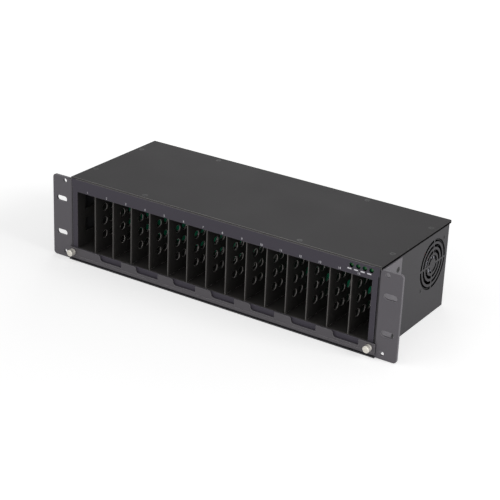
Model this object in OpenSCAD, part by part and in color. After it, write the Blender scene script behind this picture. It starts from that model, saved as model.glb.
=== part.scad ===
// Chassis that holds and powers slide-in media converters in a 19 inch rack.
// X runs to the right seen from the front, Y to the rear and Z up.
// The origin is at the middle of the case's front bottom edge, on the base plane.

/* [Case] */
// Width over both ears, for a 19 inch rack
rack_w = 482.6; // [480:0.2:484]
// Depth from the bezel's face to the cover's rear lip
case_d = 168; // [164:1:190]
// Height from the base to the top of the cover
case_h = 108.5; // [106:0.5:112]
// Thickness of the sheet steel
sheet_t = 1.2; // [1:0.1:1.4]
// Height of the cover's folded lips
cover_lip_h = 3.6; // [3:0.2:5]
// Width of the folded flanges that take the screws
flange_w = 10; // [9:0.5:11]

/* [Rack ears] */
// Distance that an ear stands out beside the cover
ear_out = 27.3; // [26:0.1:29]
// Thickness of the ear bracket
ear_t = 3; // [2:0.5:3.5]
// Outer radius of the bracket's bend
ear_bend_r = 3.4; // [1:0.1:3.6]
// Radius of the ear's outer corners
ear_corner_r = 4; // [1:0.5:5]
// Distance from the cover's top down to the ear's top
ear_drop = 2.4; // [1:0.2:5]
// Height of the ear's lower edge over the base
ear_lift = 0.5; // [0.5:0.5:2]
// Length of the flange along the case side
ear_flange_len = 45; // [42:1:60]
// Distance from an ear's outer edge to its slots' middle
rack_slot_in = 13.3; // [12:0.1:15]
// Distance between the slot centres up the rack
rack_slot_span_z = 44.45; // [40:0.05:50]
// Length of a slot from end to end
rack_slot_len = 16; // [12:0.5:18]
// Width of a slot
rack_slot_w = 7; // [6:0.2:8]
// Distance from an ear's outer edge to its round holes
ear_hole_in = 18.5; // [17.5:0.1:19.5]
// Distance from an ear's lower edge up to its lower round hole
ear_hole_up = 7.1; // [5:0.1:10]
// Distance from an ear's top down to its upper round hole
ear_hole_down = 4.9; // [4:0.1:10]
// Diameter of the round holes
ear_hole_d = 5.5; // [4:0.5:6]

/* [Slots] */
// Number of converter slots
slot_count = 15; // [13:2:17]
// Gap between the outermost slots and the side walls
slot_side_gap = 5.9; // [5.5:0.1:7]
// Height of the slot floor's upper face over the base
floor_z = 16.8; // [16:0.2:18]
// Distance from the cover's top down to the slots' roof
roof_drop = 17.5; // [15:0.1:22]
// Thickness of a divider
divider_t = 1; // [0.8:0.1:1.4]
// Gap between the dividers and the backplane
divider_rear_gap = 4.8; // [4:0.2:8]
// Diameter of a vent hole in a divider
vent_d = 9.5; // [7:0.5:11]
// Distance between vent holes along the depth
vent_pitch_y = 13.1; // [12:0.1:14]
// Distance between vent holes up the divider
vent_pitch_z = 17.6; // [16:0.1:19]

/* [Front] */
// Width of the bezel beside its opening
bezel_side_w = 6.7; // [6.5:0.1:9]
// Thickness of the retaining bar's plate
bar_t = 1.5; // [1.2:0.1:1.8]
// Distance from the bezel's face to the bar's face
bar_reach = 3; // [3:0.2:5]
// Height of the bar's plain upper edge over the base
bar_low_z = 10; // [9.4:0.2:12]
// Height of the bar's raised tabs over the base
bar_tab_z = 17.3; // [16.5:0.1:17.4]
// Width of a raised tab, one in front of every second divider
tab_w = 22; // [18:0.5:24]
// Diameter of a thumbscrew's head
thumb_head_d = 8.4; // [8:0.2:10]
// Length of a thumbscrew's head
thumb_head_len = 8.6; // [6:0.1:12]
// Diameter of a thumbscrew's thread
thumb_thread_d = 3.5; // [3:0.5:4]
// Distance from the bezel's side edge to a thumbscrew
thumb_in = 2.7; // [2.6:0.1:3.8]
// Diameter of the lamp holes
lamp_hole_d = 6; // [4:0.5:7]
// Distance between the lamp holes
lamp_pitch = 8.2; // [8:0.1:9]
// Number of status lamps
lamp_count = 4; // [4:1:4]

/* [Fans] */
// Width and height of a fan
fan_size = 60; // [50:1:66]
// Thickness of a fan
fan_t = 25; // [20:1:25]
// Gap between a fan and the backplane in front of it
fan_front_gap = 2.7; // [2:0.1:6]
// Gap between a fan and the rear panel behind it
fan_rear_gap = 4.9; // [3:0.1:8]
// Distance from the cover's top down to a fan's upper edge
fan_drop = 13.2; // [8:0.1:16]
// Distance from a fan's edges to its screw holes
fan_hole_in = 5; // [4.5:0.1:6]
// Number of rotor blades
blade_count = 7; // [5:1:9]
// Radius of the grille's solid centre
grille_disc_r = 7.4; // [5:0.2:9]
// Width of a ring-shaped grille slot
grille_slot_w = 3.6; // [2.5:0.1:4]
// Width of the metal between two grille slots
grille_web_w = 3; // [2.5:0.1:4]

/* [Power modules] */
// Width of a power module's case
module_w = 130; // [124:1:134]
// Distance from the cover's top down to a module's case
module_drop = 18.2; // [16:0.1:24]
// Gap between the two modules' cases
module_mid_gap = 26; // [20:1:32]
// Gap between the mains inlet and the handle's nearer post
handle_gap = 22.5; // [18:0.5:30]
// Distance from the face plate to the handle's grip
handle_reach = 20; // [20:1:26]

/* [Hidden] */
$fn = 48;

// Clearances
fit_gap = 0.2;
thread_gap = 0.05;
shaft_gap = 0.05;
slide_gap = 0.3;
cut = 1;

// The case
case_w = rack_w - 2 * ear_out;
side_x = case_w / 2 - sheet_t - fit_gap;
side_in_x = side_x - sheet_t;
cover_under_z = case_h - sheet_t;
side_top_z = cover_under_z;
ear_flange_top_z = case_h - cover_lip_h - fit_gap;
rear_y = case_d - sheet_t - fit_gap;
rear_in_y = rear_y - sheet_t;
wall_front_y = 1.2;
ear_face = ear_t / 4;
ear_top_z = case_h - ear_drop;
ear_hole_z = [ear_lift + ear_hole_up, ear_top_z - ear_hole_down];
rack_slot_mid_z = (ear_hole_z[0] + ear_hole_z[1]) / 2;
lip_t = 1.4;
lip_bend_r = 0.6;
cover_bend_r = 0.9;

// Slots, dividers and the plates that hold them
pcb_t = 1.6;
divider_count = slot_count - 1;
inner_panel_t = sheet_t;
bay_w = 2 * (side_in_x - slot_side_gap);
slot_pitch = bay_w / slot_count;
cage_front_y = 1.6;
pcb_front_y = rear_in_y - fan_rear_gap - fan_size - fan_front_gap - pcb_t;
cage_rear_y = pcb_front_y;
divider_end_y = cage_rear_y - divider_rear_gap;
divider_len = divider_end_y - cage_front_y;
roof_z = case_h - roof_drop;
slot_h = roof_z - floor_z;
hem_bulge = 0.45;
hem_r = divider_t / 2 + hem_bulge;
vent_first_y = 19.9;
vent_edge = 3;
vent_cols = 1 + floor((divider_end_y - vent_edge - vent_d / 2 - vent_first_y) / vent_pitch_y);
vent_rows = 1 + floor((slot_h - vent_d - 4 * vent_edge) / vent_pitch_z);
vent_mid_z = floor_z + slot_h / 2;
tongue_len = 9;
tongue_share = [0.19, 0.83];
window_y = 17;
window_rear_edge = 28.4;
window_low_edge = 16.5;
window_mid_edge = 11.5;
window_top_edge = 9.2;
window_h = (slot_h - window_low_edge - window_mid_edge - window_top_edge) / 2;
window_low_z = [floor_z + window_low_edge, roof_z - window_top_edge - window_h];
panel_screw_y = 24;
panel_screw_z = window_low_z[1] - window_mid_edge / 2;
panel_boss_d = 7;
panel_screw_len = 6;

// Backplane
pcb_low_z = 5;
pcb_side_margin = 2.5;
jack_w = 9;
jack_t = 3.2;
jack_drop = 39;
jack_z = roof_z - jack_drop;
jack_barrel_d = 5.5;
jack_barrel_len = 9.5;
jack_bore_d = 2.1;
pcb_screw_d = 3;
pcb_screw_head_d = 5.6;
pcb_screw_head_h = 2;
pcb_screw_count = 4;
cage_lip_h = 9;

// Front
bezel_edge_x = side_x - fit_gap;
bezel_step_in = 1.4;
bezel_step_x = bezel_edge_x - bezel_step_in;
bezel_step_drop = 12.5;
bezel_step_z = case_h - bezel_step_drop;
sill_drop = 0.2;
sill_z = floor_z - sill_drop;
opening_top_z = roof_z - sill_drop;
opening_w = 2 * (bezel_step_x - bezel_side_w);
thumb_span = 2 * (bezel_step_x - thumb_in);
bezel_top_gap = 0.4;
bezel_top_z = cover_under_z - bezel_top_gap;
bezel_return_len = 12;
bezel_foot_z = sheet_t + fit_gap;
bar_overhang = 2.6;
bar_x = bezel_edge_x + bar_overhang;
bar_lift = 2.2;
bar_low_edge_z = sheet_t + bar_lift;
bar_hem_t = 1.2;
bar_crease_z = 6.8;
bar_crease_w = 0.5;
bar_crease_deep = 0.4;
tab_shoulder_r = 3.4;
thumb_z = 12;
thumb_neck_d = 5.6;
thumb_neck_len = 1.4;
thumb_edge = 0.5;
lamp_side = 10.3;
lamp_first_x = bezel_edge_x - lamp_side - (lamp_count - 1) * lamp_pitch;
lamp_drop = 7.7;
lamp_z = case_h - lamp_drop;
lamp_d = 5;
lamp_len = 5.4;
lamp_base_d = 5.8;
lamp_base_t = 1;
lamp_recess = 0.6;
lamp_face_y = wall_front_y + lamp_recess;
lamp_board_y = lamp_face_y + lamp_len;
lamp_board_h = 9.6;
lamp_board_margin = 6.7;
lamp_board_w = (lamp_count - 1) * lamp_pitch + 2 * lamp_board_margin;
lamp_board_post_d = 3.4;
ribbon_w = 12.7;

// Screws
screw_d = 3;
screw_head_d = 6;
screw_cone_h = 1;
screw_len = 5;
ear_screw_d = 4;
ear_screw_head_d = 7.4;
ear_screw_cone_h = 1.8;
ear_screw_len = 7;
ear_screw_in = 8;
ear_screw_y = ear_flange_len - ear_screw_in;
ear_screw_up = 12;
ear_screw_down = 16.1;
ear_screw_z = [ear_screw_up, case_h - ear_screw_down];
cross_w = 0.6;
cross_len = 3;
cross_deep = 0.5;

// Cover screws: along the sides, along the front and along the rear
cover_screw_side_in = [39, 37];
cover_screw_side_y = [cover_screw_side_in[0], case_d - cover_screw_side_in[1]];
cover_screw_front_x = case_w / 4;
cover_screw_front_y = 7;
cover_screw_rear_in = 5.5;

// Fans
fan_y = rear_in_y - fan_rear_gap - fan_size / 2;
fan_z = case_h - fan_drop - fan_size / 2;
fan_screw_span = fan_size - 2 * fan_hole_in;
grille_over = 1;
grille_rings = floor((fan_size / 2 + grille_over - grille_disc_r + grille_web_w)
    / (grille_slot_w + grille_web_w));
fan_wall = 1.2;
fan_flat = 0.1;
fan_tube_r = fan_size / 2 - fan_flat;
fan_bore_r = fan_tube_r - fan_wall;
fan_flange_t = 4;
fan_corner_r = 4;
fan_hole_d = 4.3;
fan_hub_r = 14;
fan_hub_gap = 1.5;
fan_back_t = 3;
fan_strut_w = 4;
fan_strut_count = 4;
fan_shaft_d = 3;
fan_bearing_r = 4;
fan_bearing_len = 9;
rotor_tip_gap = 1;
rotor_hub_t = 1.6;
rotor_front_gap = 2;
blade_t = 1.4;
blade_w = 19;
blade_chord_r = 17;
blade_angle = 36;
spoke_w = 2.4;
fan_screw_len = 9;
wire_d = 1.3;
wire_bend_d = 1.5;
wire_pitch = 2;
fan_back_in = wire_d + 3 * fit_gap;
fan_lead_r = 12;
fan_lead_up = 19;

// Rear panel, rails and power modules
rear_gap = fit_gap;
bay_low_z = 8;
module_case_t = 1;
module_low_z = bay_low_z + slide_gap;
module_h = case_h - module_drop - module_low_z;
module_span = module_w + module_mid_gap;
module_front_gap = 11.4;
module_front_y = pcb_front_y + pcb_t + module_front_gap;
module_plate_t = 1.5;
module_plate_margin = 8;
rail_w = 9;
rail_guide_h = 6;
module_y = rear_y + rear_gap + module_plate_t;
inlet_w = 27.4;
inlet_h = 19.8;
inlet_rim_w = 31;
inlet_rim_h = 24;
inlet_rim_t = 2;
inlet_deep = 16;
inlet_body_len = 22;
inlet_wall = 1.8;
inlet_side = 27;
inlet_x = -module_w / 2 + inlet_side;
pin_w = 2;
pin_h = 4;
pin_len = 13;
pin_pitch = 7;
pin_up = 2.6;
switch_up = 28;
inlet_low_by = 1;
inlet_z = (module_h - switch_up) / 2 - inlet_low_by;
switch_w = 13;
switch_deep = 12;
rocker_r = 8;
rocker_gap = 0.3;
rocker_axis_y = -1.6;
rocker_face_y = 3.2;
rocker_back_y = 5;
rocker_hollow_r = 16;
rocker_axle_d = 2;
rocker_tilt = 9;
handle_side = 13;
handle_w = module_w - inlet_side - inlet_rim_w / 2 - handle_gap - handle_side;
handle_x = module_w / 2 - handle_side - handle_w / 2;
handle_z = 20;
handle_d = 7;
handle_foot_d = 11;
handle_foot_t = 1.5;
plate_screw_margin = 4.2;
plate_screw_d = 3.5;
plate_screw_head_d = 7;
plate_screw_head_h = 2.4;
plate_screw_len = 6;
board_t = 1.6;
board_up = 6;
board_margin = 5;
board_screw_d = 5;
core_w = 34;
core_h = 30;
capacitor_d = 18;
capacitor_h = 30;
sink_t = 4;
sink_h = 38;
plug_w = 24;
plug_h = 9;
plug_len = 11;
plug_wall = 1.5;
vent_slot_w = 2.4;
vent_slot_len = 22;
vent_slot_pitch = 5;
case_vent_count = 8;
plate_vent_up = 20;
plate_vent_count = floor((module_h - handle_z - plate_vent_up) / vent_slot_pitch);

SIDES = ["left", "right"];

// Colours
paint = "#3b3a3d";
bezel_paint = "#332f38";
bracket_grey = "#5c5b5e";
steel = "#b9b8b4";
plastic = "#1c1c1e";
board_green = "#0c4a34";
lamp_green = "#6f9a72";

function side_sign(name) = name == "left" ? -1 : 1;
function divider_x(i) = (i - slot_count / 2) * slot_pitch;
function slot_x(i) = (i - (slot_count + 1) / 2) * slot_pitch;
function module_x(s) = s * module_span / 2;

// A box between two corners
module block(x, y, z) {
    translate([x[0], y[0], z[0]]) cube([x[1] - x[0], y[1] - y[0], z[1] - z[0]]);
}

// Both a shape and its mirror image left to right
module both_sides() {
    children();
    mirror([1, 0, 0]) children();
}

// A shape on the right, or its mirror image on the left
module on_side(s) {
    mirror([s < 0 ? 1 : 0, 0, 0]) children();
}

// A cylinder along +Y from a point
module rod_y(at, d, len) {
    translate(at) rotate([-90, 0, 0]) cylinder(d = d, h = len);
}

// A cylinder along +X from a point
module rod_x(at, d, len) {
    translate(at) rotate([0, 90, 0]) cylinder(d = d, h = len);
}

// A plate in the XZ plane with round corners, from y to y + t
module round_plate_y(x, z, y, t, r) {
    translate([0, y + t, 0]) rotate([90, 0, 0]) linear_extrude(t) union() {
        translate([x[0] + r, z[0]]) square([x[1] - x[0] - 2 * r, z[1] - z[0]]);
        translate([x[0], z[0] + r]) square([x[1] - x[0], z[1] - z[0] - 2 * r]);
        for (cx = [x[0] + r, x[1] - r], cz = [z[0] + r, z[1] - r]) translate([cx, cz]) circle(r = r);
    }
}

// A slot with round ends along X, cut along Y
module slot_y(at, len, w, deep) {
    for (s = [-1, 1]) rod_y([at[0] + s * (len - w) / 2, at[1], at[2]], w, deep);
    block([at[0] - (len - w) / 2, at[0] + (len - w) / 2], [at[1], at[1] + deep],
        [at[2] - w / 2, at[2] + w / 2]);
}

// A countersunk screw, its flat head at the origin and its thread down -Z
module flat_screw(d, head_d, cone_h, len) {
    difference() {
        union() {
            translate([0, 0, -cone_h]) cylinder(d1 = d, d2 = head_d, h = cone_h);
            translate([0, 0, -len]) cylinder(d = d, h = len);
        }
        for (a = [0, 90]) rotate([0, 0, a]) translate([-cross_len / 2, -cross_w / 2, -cross_deep])
            cube([cross_len, cross_w, cross_deep + cut]);
    }
}

// The hole that a countersunk screw sits in
module flat_screw_hole(d, head_d, cone_h, len) {
    translate([0, 0, -cone_h]) cylinder(d1 = d + 2 * fit_gap, d2 = head_d + 2 * fit_gap, h = cone_h);
    translate([0, 0, -len]) cylinder(d = d + 2 * fit_gap, h = len);
    cylinder(d = head_d + 2 * fit_gap, h = cut);
}

// A screw with a raised head, its seat at the origin and its thread down -Z
module pan_screw(d, head_d, head_h, len) {
    difference() {
        union() {
            cylinder(d = head_d, h = head_h / 2);
            translate([0, 0, head_h / 2]) cylinder(d1 = head_d, d2 = head_d - head_h, h = head_h / 2);
            translate([0, 0, -len]) cylinder(d = d, h = len);
        }
        for (a = [0, 90]) rotate([0, 0, a]) translate([-cross_len / 2, -cross_w / 2, head_h - cross_deep])
            cube([cross_len, cross_w, cross_deep + cut]);
    }
}

// Places of the cover's screws, seen from above
module at_cover_screws() {
    for (s = [-1, 1], y = cover_screw_side_y)
        translate([s * (side_in_x - flange_w / 2), y, case_h]) children();
    for (s = [-1, 1], y = [cover_screw_front_y, rear_in_y - cover_screw_rear_in])
        translate([s * cover_screw_front_x, y, case_h]) children();
}

// Ring slots of one fan grille, cut through the side wall on the right
module grille_cut() {
    for (i = [0:grille_rings - 1]) {
        r = grille_disc_r + i * (grille_slot_w + grille_web_w);
        translate([side_in_x - cut, fan_y, fan_z]) difference() {
            rod_x([0, 0, 0], 2 * (r + grille_slot_w), sheet_t + 2 * cut);
            rod_x([-cut, 0, 0], 2 * r, sheet_t + 4 * cut);
            for (a = [0, 90]) rotate([a, 0, 0]) translate([-cut, -spoke_w / 2, -fan_size])
                cube([sheet_t + 4 * cut, spoke_w, 2 * fan_size]);
        }
    }
}

// Places of the two screws that hold a fan, on the right, heads outwards
module at_fan_screws() {
    for (s = [-1, 1]) translate([side_x, fan_y + s * fan_screw_span / 2, fan_z + s * fan_screw_span / 2])
        rotate([0, 90, 0]) children();
}

// Places of an ear's screws, on the right, heads outwards
module at_ear_screws() {
    for (z = ear_screw_z) translate([side_x + ear_t, ear_screw_y, z]) rotate([0, 90, 0]) children();
}

// Place of the screw that ties a side wall to its inner panel, on the right, head outwards
module at_panel_screw() {
    translate([side_x, panel_screw_y, panel_screw_z]) rotate([0, 90, 0]) children();
}

module base_tray() color(paint) difference() {
    union() {
        block([-side_x, side_x], [0, rear_y], [0, sheet_t]);
        block([-bar_x, bar_x], [-bar_reach + lip_bend_r, -ear_face - fit_gap], [0, lip_t]);
        block([-bezel_step_x, bezel_step_x], [-bar_reach + lip_bend_r, 0], [0, sheet_t]);
        rod_x([-bar_x, -bar_reach + lip_bend_r, lip_bend_r], 2 * lip_bend_r, 2 * bar_x);
        block([-bar_x, bar_x], [-bar_reach, -bar_reach + lip_bend_r], [lip_bend_r, lip_t]);
        both_sides() {
            block([side_in_x, side_x], [wall_front_y, rear_y], [0, side_top_z]);
            block([side_in_x - flange_w, side_in_x], [bezel_return_len + 2 * fit_gap, rear_in_y - fit_gap],
                [side_top_z - sheet_t, side_top_z]);
            block([side_in_x - flange_w, side_in_x], [rear_in_y - sheet_t, rear_in_y],
                [bay_low_z, fan_z - fan_size / 2 - sheet_t]);
        }
    }
    both_sides() {
        grille_cut();
        at_fan_screws() flat_screw_hole(screw_d, screw_head_d, screw_cone_h, screw_len);
        at_ear_screws() translate([0, 0, -ear_screw_len])
            cylinder(d = ear_screw_d + 2 * fit_gap, h = ear_screw_len);
        at_panel_screw() flat_screw_hole(screw_d, screw_head_d, screw_cone_h, screw_len);
    }
    at_cover_screws() translate([0, 0, -screw_len]) cylinder(d = screw_d + 2 * fit_gap, h = screw_len);
    at_rear_screws() translate([0, 0, -screw_len]) cylinder(d = screw_d + 2 * fit_gap, h = screw_len + cut);
}

module top_cover() color(paint) difference() {
    union() {
        block([-case_w / 2 + cover_bend_r, case_w / 2 - cover_bend_r], [0, case_d], [cover_under_z, case_h]);
        both_sides() {
            intersection() {
                rod_y([case_w / 2 - cover_bend_r, 0, case_h - cover_bend_r], 2 * cover_bend_r, case_d);
                block([case_w / 2 - cover_bend_r, case_w / 2], [0, case_d], [case_h - cover_bend_r, case_h]);
            }
            block([case_w / 2 - sheet_t, case_w / 2], [0, case_d],
                [case_h - cover_lip_h, case_h - cover_bend_r]);
        }
        block([-case_w / 2, case_w / 2], [case_d - sheet_t, case_d],
            [case_h - cover_lip_h, case_h - cover_bend_r]);
    }
    at_cover_screws() flat_screw_hole(screw_d, screw_head_d, screw_cone_h, screw_len);
}

// Outline of the bezel: full width at the top, stepped in beside the side walls' edges below
module bezel_outline() {
    translate([-bezel_step_x, bezel_foot_z]) square([2 * bezel_step_x, bezel_top_z - bezel_foot_z]);
    translate([-bezel_edge_x, bezel_step_z]) square([2 * bezel_edge_x, bezel_top_z - bezel_step_z]);
}

module front_bezel() color(bezel_paint) difference() {
    union() {
        translate([0, wall_front_y - fit_gap, 0]) rotate([90, 0, 0]) linear_extrude(wall_front_y - fit_gap)
            difference() {
                bezel_outline();
                translate([-opening_w / 2, sill_z]) square([opening_w, opening_top_z - sill_z]);
            }
        block([-bezel_step_x, bezel_step_x], [0, bezel_return_len], [bezel_top_z - sheet_t, bezel_top_z]);
        block([-bezel_step_x, bezel_step_x], [0, bezel_return_len], [bezel_foot_z, bezel_foot_z + sheet_t]);
    }
    for (i = [0:lamp_count - 1]) rod_y([lamp_first_x + i * lamp_pitch, -cut, lamp_z], lamp_hole_d,
        wall_front_y + 2 * cut);
    for (s = [-1, 1]) rod_y([s * thumb_span / 2, -cut, thumb_z], thumb_thread_d + 2 * thread_gap,
        bezel_return_len);
    at_cover_screws() translate([0, 0, -screw_len]) cylinder(d = screw_d + 2 * fit_gap, h = screw_len);
}

// A raised tab of the bar: a steep left side and a rounded right shoulder that runs out in a curve
module tab_outline(x0, x1) {
    rise = bar_tab_z - bar_low_z;
    translate([x0, bar_low_z - bar_hem_t]) square([x1 - tab_shoulder_r - x0, rise + bar_hem_t]);
    translate([x1 - 2 * tab_shoulder_r, bar_low_z - bar_hem_t])
        square([2 * tab_shoulder_r, rise + bar_hem_t - tab_shoulder_r]);
    translate([x1 - tab_shoulder_r, bar_tab_z - tab_shoulder_r]) circle(r = tab_shoulder_r);
    difference() {
        translate([x1, bar_low_z - bar_hem_t])
            square([rise - tab_shoulder_r, rise - tab_shoulder_r + bar_hem_t]);
        translate([x1 + rise - tab_shoulder_r, bar_tab_z - tab_shoulder_r]) circle(r = rise - tab_shoulder_r);
    }
}

module retaining_bar() color(bezel_paint) difference() {
    union() {
        translate([0, -bar_reach + bar_t, 0]) rotate([90, 0, 0]) linear_extrude(bar_t) {
            translate([-bar_x, bar_low_edge_z + bar_hem_t / 2])
                square([2 * bar_x, bar_low_z - bar_low_edge_z - bar_hem_t / 2]);
            tab_outline(-bar_x, divider_x(1) + tab_w / 2);
            for (i = [3:2:divider_count]) tab_outline(divider_x(i) - tab_w / 2, divider_x(i) + tab_w / 2);
            translate([divider_x(slot_count) - tab_w / 2, bar_low_z - bar_hem_t])
                square([bar_x - divider_x(slot_count) + tab_w / 2, bar_tab_z - bar_low_z + bar_hem_t]);
        }
        block([-bar_x, bar_x], [-bar_reach + bar_hem_t / 2, -ear_face - fit_gap],
            [bar_low_edge_z, bar_low_edge_z + bar_hem_t]);
        block([-bezel_step_x, bezel_step_x], [-bar_reach + bar_hem_t / 2, 0],
            [bar_low_edge_z, bar_low_edge_z + bar_hem_t]);
        rod_x([-bar_x, -bar_reach + bar_hem_t / 2, bar_low_edge_z + bar_hem_t / 2], bar_hem_t, 2 * bar_x);
    }
    for (s = [-1, 1]) rod_y([s * thumb_span / 2, -bar_reach - cut, thumb_z], thumb_thread_d + 2 * thread_gap,
        bar_t + 2 * cut);
    block([-rack_w, rack_w], [-bar_reach - cut, -bar_reach + bar_crease_deep],
        [bar_crease_z, bar_crease_z + bar_crease_w]);
}

// A thumbscrew: neck, head with turned edges, and a thread that reaches through the bar and the bezel
module thumbscrew(s) color(steel) translate([s * thumb_span / 2, -bar_reach, thumb_z]) rotate([90, 0, 0]) {
    thread_len = bar_reach + wall_front_y + fit_gap;
    body_len = thumb_head_len - thumb_neck_len - 2 * thumb_edge;
    cylinder(d = thumb_neck_d, h = thumb_neck_len);
    translate([0, 0, thumb_neck_len]) {
        cylinder(d1 = thumb_head_d - 2 * thumb_edge, d2 = thumb_head_d, h = thumb_edge);
        translate([0, 0, thumb_edge]) cylinder(d = thumb_head_d, h = body_len);
        translate([0, 0, thumb_edge + body_len])
            cylinder(d1 = thumb_head_d, d2 = thumb_head_d - 2 * thumb_edge, h = thumb_edge);
    }
    translate([0, 0, -thread_len]) cylinder(d = thumb_thread_d, h = thread_len + thumb_neck_len);
}

module ear(s) color(bracket_grey) on_side(s) difference() {
    union() {
        block([side_x, side_x + ear_t], [ear_bend_r - ear_face, ear_flange_len],
            [ear_lift, ear_flange_top_z]);
        intersection() {
            round_plate_y([side_x - ear_t, rack_w / 2], [ear_lift, ear_top_z], -ear_face, ear_t,
                ear_corner_r);
            block([side_x + ear_bend_r, rack_w], [-rack_w, rack_w], [0, case_h]);
        }
        intersection() {
            translate([side_x + ear_bend_r, ear_bend_r - ear_face, ear_lift])
                cylinder(r = ear_bend_r, h = ear_flange_top_z - ear_lift);
            block([side_x, side_x + ear_bend_r], [-ear_face, ear_bend_r - ear_face],
                [ear_lift, ear_flange_top_z]);
        }
    }
    for (k = [-1, 1])
        slot_y([rack_w / 2 - rack_slot_in, -ear_t, rack_slot_mid_z + k * rack_slot_span_z / 2],
            rack_slot_len, rack_slot_w, 2 * ear_t + cut);
    for (z = ear_hole_z) rod_y([rack_w / 2 - ear_hole_in, -ear_t, z], ear_hole_d, 2 * ear_t + cut);
    at_ear_screws() flat_screw_hole(ear_screw_d, ear_screw_head_d, ear_screw_cone_h, ear_screw_len);
}

module ear_screws() color(plastic) both_sides()
    at_ear_screws() flat_screw(ear_screw_d, ear_screw_head_d, ear_screw_cone_h, ear_screw_len);

module cover_screws() color(plastic) at_cover_screws()
    flat_screw(screw_d, screw_head_d, screw_cone_h, screw_len);

module panel_screws() color(plastic) both_sides()
    at_panel_screw() flat_screw(screw_d, screw_head_d, screw_cone_h, panel_screw_len);

module fan_screws() color(plastic) both_sides()
    at_fan_screws() flat_screw(screw_d, screw_head_d, screw_cone_h, fan_screw_len);

module inner_panel(s) color(paint) on_side(s) difference() {
    union() {
        block([bay_w / 2, bay_w / 2 + inner_panel_t], [cage_front_y, cage_rear_y], [sheet_t, roof_z]);
        block([bay_w / 2, side_in_x], [cage_front_y + bezel_return_len, cage_rear_y], [sheet_t, 2 * sheet_t]);
        block([bay_w / 2, side_in_x], [cage_front_y + bezel_return_len, cage_rear_y],
            [roof_z - sheet_t, roof_z]);
        rod_x([bay_w / 2 + inner_panel_t, panel_screw_y, panel_screw_z], panel_boss_d,
            side_in_x - bay_w / 2 - inner_panel_t);
    }
    for (z = window_low_z) block([bay_w / 2 - cut, bay_w / 2 + inner_panel_t + cut],
        [window_y, divider_end_y - window_rear_edge], [z, z + window_h]);
    block([0, side_x], [0, bezel_return_len + fit_gap], [0, bezel_foot_z + sheet_t + fit_gap]);
    at_panel_screw() translate([0, 0, -panel_screw_len])
        cylinder(d = screw_d + 2 * thread_gap, h = panel_screw_len);
    at_ear_screws() translate([0, 0, -ear_screw_len - cut]) cylinder(d = ear_screw_head_d, h = ear_screw_len);
}

// Slits in the floor or roof for the dividers' tongues
module tongue_slits(z0, z1) {
    for (i = [1:divider_count], t = tongue_share) {
        y = cage_front_y + t * divider_len;
        block([divider_x(i) - divider_t / 2 - fit_gap, divider_x(i) + divider_t / 2 + fit_gap],
            [y - tongue_len / 2 - fit_gap, y + tongue_len / 2 + fit_gap], [z0, z1]);
    }
}

module slot_floor() color(paint) difference() {
    union() {
        block([-bay_w / 2, bay_w / 2], [cage_front_y, cage_rear_y], [floor_z - sheet_t, floor_z]);
        block([-bay_w / 2, bay_w / 2], [bezel_return_len + fit_gap, bezel_return_len + fit_gap + sheet_t],
            [sheet_t, floor_z]);
        block([-bay_w / 2, bay_w / 2], [cage_rear_y - sheet_t, cage_rear_y], [sheet_t, floor_z]);
    }
    tongue_slits(floor_z - sheet_t - cut, floor_z + cut);
    backplane_thread();
}

module slot_roof() color(paint) difference() {
    union() {
        block([-bay_w / 2 - inner_panel_t, bay_w / 2 + inner_panel_t], [cage_front_y, cage_rear_y],
            [roof_z, roof_z + sheet_t]);
        block([-bay_w / 2, bay_w / 2], [cage_rear_y - sheet_t, cage_rear_y], [roof_z, roof_z + cage_lip_h]);
    }
    tongue_slits(roof_z - cut, roof_z + sheet_t + cut);
    backplane_thread();
}

module divider(i) color(bracket_grey) difference() {
    translate([divider_x(i), 0, 0]) union() {
        block([-divider_t / 2, divider_t / 2], [cage_front_y + hem_r, divider_end_y], [floor_z, roof_z]);
        translate([0, cage_front_y + hem_r, floor_z]) cylinder(r = hem_r, h = slot_h);
        for (t = tongue_share) translate([0, cage_front_y + t * divider_len, 0])
            block([-divider_t / 2, divider_t / 2], [-tongue_len / 2, tongue_len / 2],
                [floor_z - sheet_t, roof_z + sheet_t]);
    }
    for (c = [0:vent_cols - 1], r = [0:vent_rows - 1])
        rod_x([divider_x(i) - divider_t, vent_first_y + c * vent_pitch_y,
            vent_mid_z + (r - (vent_rows - 1) / 2) * vent_pitch_z], vent_d, 2 * divider_t);
}

// Places of the backplane's screws on its rear face, heads to the rear
module at_backplane_screws() {
    for (i = [0:pcb_screw_count - 1], z = [floor_z / 2 + sheet_t, roof_z + cage_lip_h / 2])
        translate([(i - (pcb_screw_count - 1) / 2) * (bay_w / pcb_screw_count), pcb_front_y + pcb_t, z])
            rotate([-90, 0, 0]) children();
}

// Thread holes for the backplane's screws, through the sheet in front of it
module backplane_thread() {
    at_backplane_screws() translate([0, 0, -pcb_t - sheet_t - cut])
        cylinder(d = pcb_screw_d, h = sheet_t + pcb_t + cut);
}

module backplane_board() color(board_green) difference() {
    block([-bay_w / 2 + pcb_side_margin, bay_w / 2 - pcb_side_margin], [pcb_front_y, pcb_front_y + pcb_t],
        [pcb_low_z, roof_z + cage_lip_h]);
    at_backplane_screws() translate([0, 0, -pcb_t - cut])
        cylinder(d = pcb_screw_d + 2 * fit_gap, h = pcb_t + 2 * cut);
}

module backplane_screws() color(steel) at_backplane_screws()
    pan_screw(pcb_screw_d - 2 * fit_gap, pcb_screw_head_d, pcb_screw_head_h, pcb_t + sheet_t);

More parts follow.
